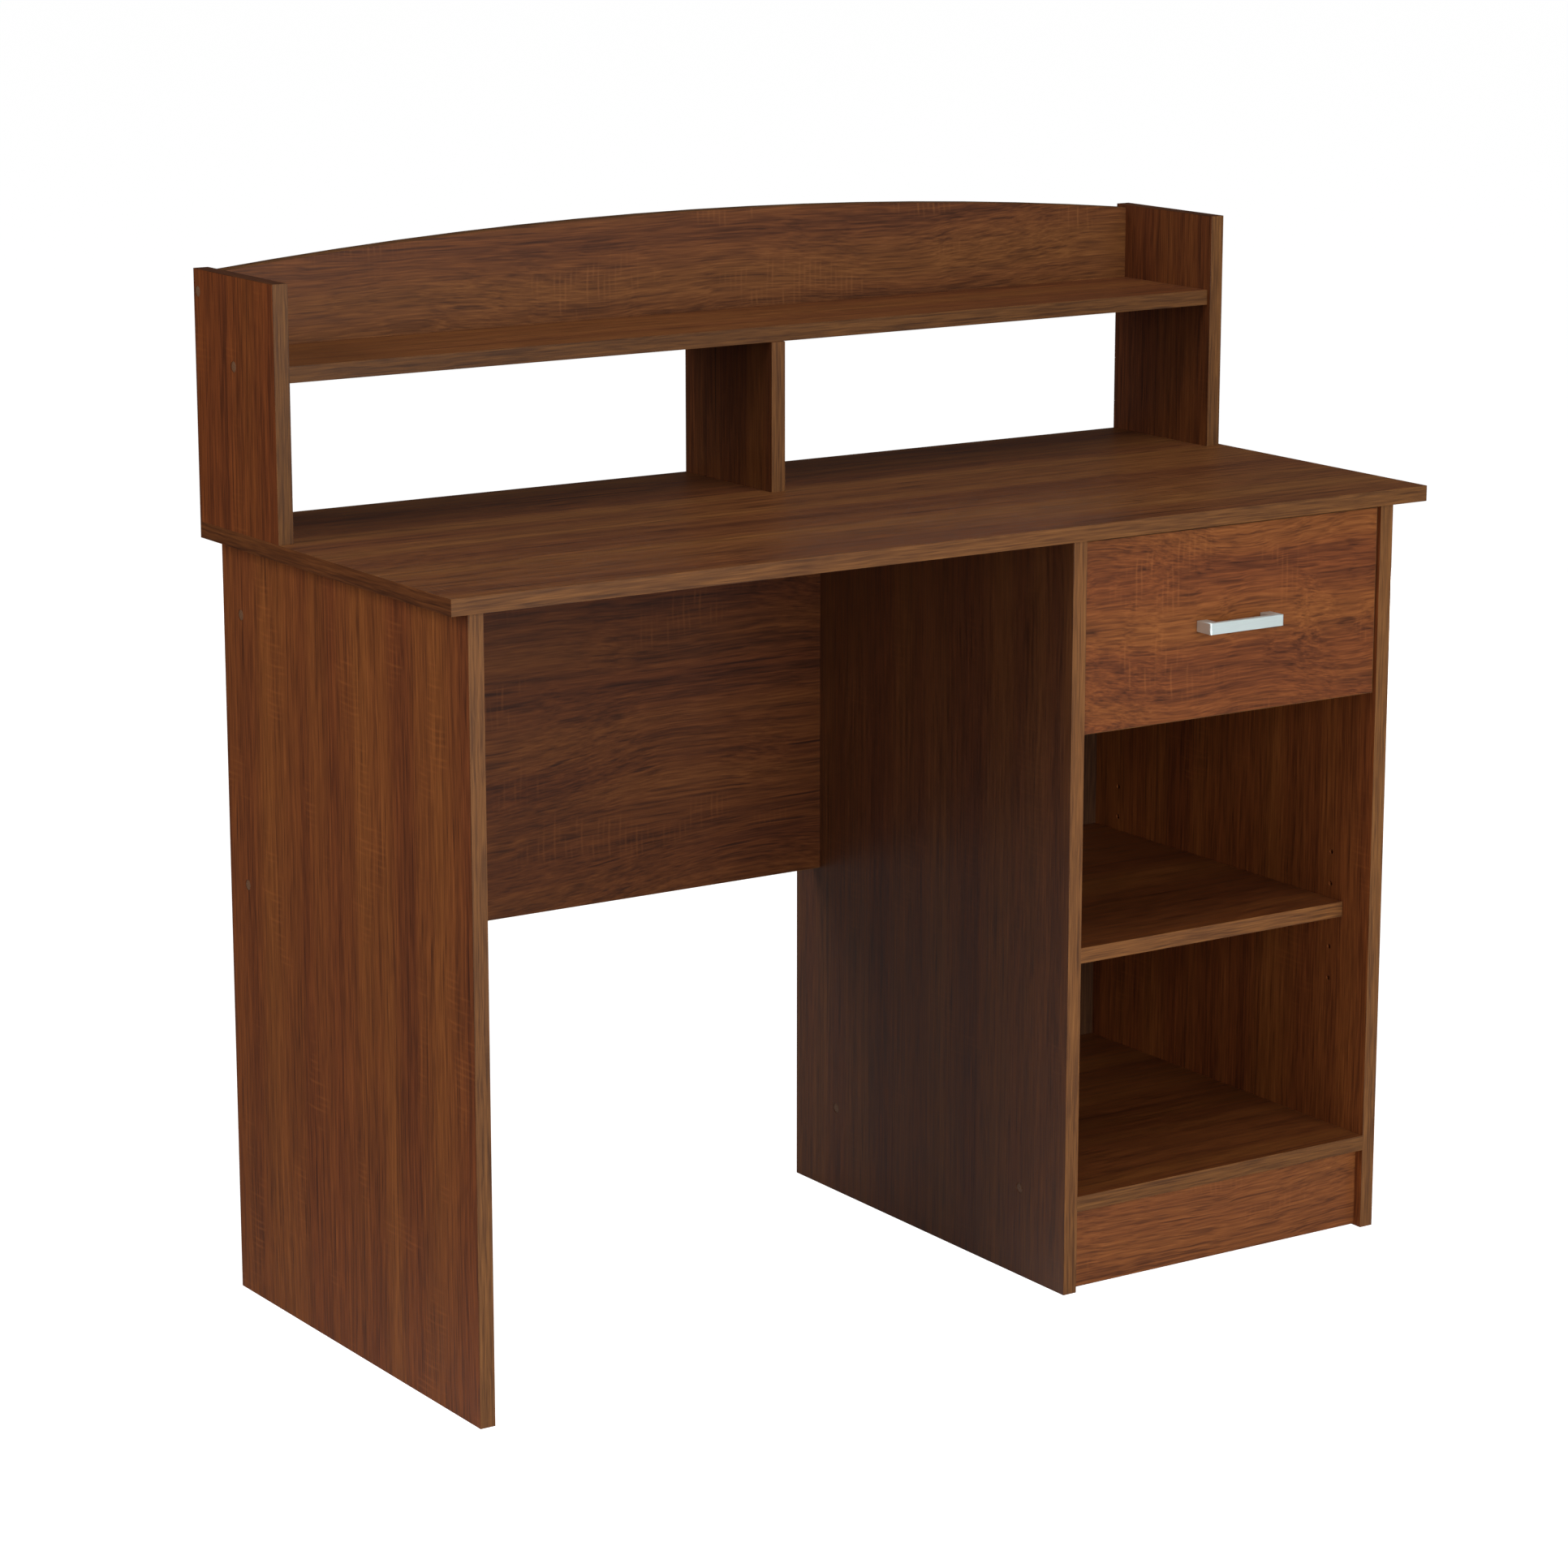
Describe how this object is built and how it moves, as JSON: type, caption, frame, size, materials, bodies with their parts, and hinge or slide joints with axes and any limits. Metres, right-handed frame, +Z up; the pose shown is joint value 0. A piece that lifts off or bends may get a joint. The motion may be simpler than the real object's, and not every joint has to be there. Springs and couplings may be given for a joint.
{
  "type": "desk with hutch",
  "caption": "Walnut-laminate writing desk with a low arched-back hutch, a modesty panel, and a right-hand pedestal with an inset drawer on roller slides over open shelving.",
  "frame": {"origin": "on the floor, under the middle of the whole desk's width and of its depth with the drawer handle included", "axes": "+X to the right of a person who faces the drawer, +Y from the front to the back, +Z up"},
  "size_m": [1.072, 0.474, 0.995],
  "materials": {
    "walnut_board": "satin walnut grain laminate",
    "walnut_edge_band": "satin edge band, lighter than the boards",
    "brown_hardboard": "printed hardboard, matte",
    "satin_aluminium": "satin",
    "zinc_steel": "zinc plated",
    "white_enamel_steel": "white epoxy coat",
    "white_nylon": "moulded, matte",
    "beech": "raw",
    "brown_plastic": "moulded, matte"
  },
  "bodies": {
    "desk": {"desktop": "walnut_board", "desktop_edge_bands": "walnut_edge_band", "left_leg_panel": "walnut_board", "modesty_panel": "walnut_board", "leg_edge_bands": "walnut_edge_band", "pedestal_left_panel": "walnut_board", "pedestal_right_panel": "walnut_board", "pedestal_bottom_panel": "walnut_board", "plinth": "walnut_board", "pedestal_back_panel": "brown_hardboard", "pedestal_edge_bands": "walnut_edge_band", "adjustable_shelf": "walnut_board", "shelf_edge_band": "walnut_edge_band", "shelf_pins": "zinc_steel", "hutch_left_side": "walnut_board", "hutch_right_side": "walnut_board", "hutch_divider": "walnut_board", "hutch_shelf": "walnut_board", "hutch_arched_back": "walnut_board", "hutch_edge_bands": "walnut_edge_band", "slide_rail_left": "white_enamel_steel", "slide_rail_right": "white_enamel_steel", "rail_screws": "zinc_steel", "desktop_cam_locks": "zinc_steel", "desktop_cam_bolts": "zinc_steel", "desktop_dowels": "beech", "modesty_screws": "zinc_steel", "pedestal_bottom_screws": "zinc_steel", "plinth_dowels": "beech", "plinth_corner_blocks": "brown_plastic", "corner_block_screws": "zinc_steel", "hutch_side_screws": "zinc_steel", "hutch_foot_screws": "zinc_steel", "arched_back_screws": "zinc_steel", "hutch_dowels": "beech", "screw_caps": "brown_plastic"},
    "drawer": {"drawer_front": "walnut_board", "drawer_edge_bands": "walnut_edge_band", "drawer_left_side": "walnut_board", "drawer_right_side": "walnut_board", "drawer_back": "walnut_board", "drawer_bottom": "brown_hardboard", "handle": "satin_aluminium", "handle_screws": "zinc_steel", "slide_runner_left": "white_enamel_steel", "slide_runner_right": "white_enamel_steel", "runner_screws": "zinc_steel", "drawer_cam_locks": "zinc_steel", "drawer_cam_bolts": "zinc_steel", "drawer_back_screws": "zinc_steel"},
    "rail_roller_left": {"rail_roller_left": "white_nylon"},
    "rail_roller_right": {"rail_roller_right": "white_nylon"},
    "runner_roller_left": {"runner_roller_left": "white_nylon"},
    "runner_roller_right": {"runner_roller_right": "white_nylon"}
  },
  "joints": [
    {"name": "drawer_slide", "type": "slide", "parent": "desk", "child": "drawer", "axis": [0, -1, 0], "range_m": [0, 0.3]},
    {"name": "rail_roller_left_spin", "type": "hinge", "parent": "desk", "child": "rail_roller_left", "pos_m": [0.1411, -0.187, 0.5738], "axis": [1, 0, 0], "range_deg": [-1, 2025.2]},
    {"name": "rail_roller_right_spin", "type": "hinge", "parent": "desk", "child": "rail_roller_right", "pos_m": [0.4809, -0.187, 0.5738], "axis": [1, 0, 0], "range_deg": [-1, 2025.2]},
    {"name": "runner_roller_left_spin", "type": "hinge", "parent": "drawer", "child": "runner_roller_left", "pos_m": [0.1411, 0.187, 0.5738], "axis": [1, 0, 0], "range_deg": [-1, 2025.2]},
    {"name": "runner_roller_right_spin", "type": "hinge", "parent": "drawer", "child": "runner_roller_right", "pos_m": [0.4809, 0.187, 0.5738], "axis": [1, 0, 0], "range_deg": [-1, 2025.2]}
  ],
  "couplings": [
    {"joint": "rail_roller_left_spin", "follows": "drawer_slide", "rad_per_m": 117.65},
    {"joint": "rail_roller_right_spin", "follows": "drawer_slide", "rad_per_m": 117.65},
    {"joint": "runner_roller_left_spin", "follows": "drawer_slide", "rad_per_m": 117.65},
    {"joint": "runner_roller_right_spin", "follows": "drawer_slide", "rad_per_m": 117.65}
  ]
}
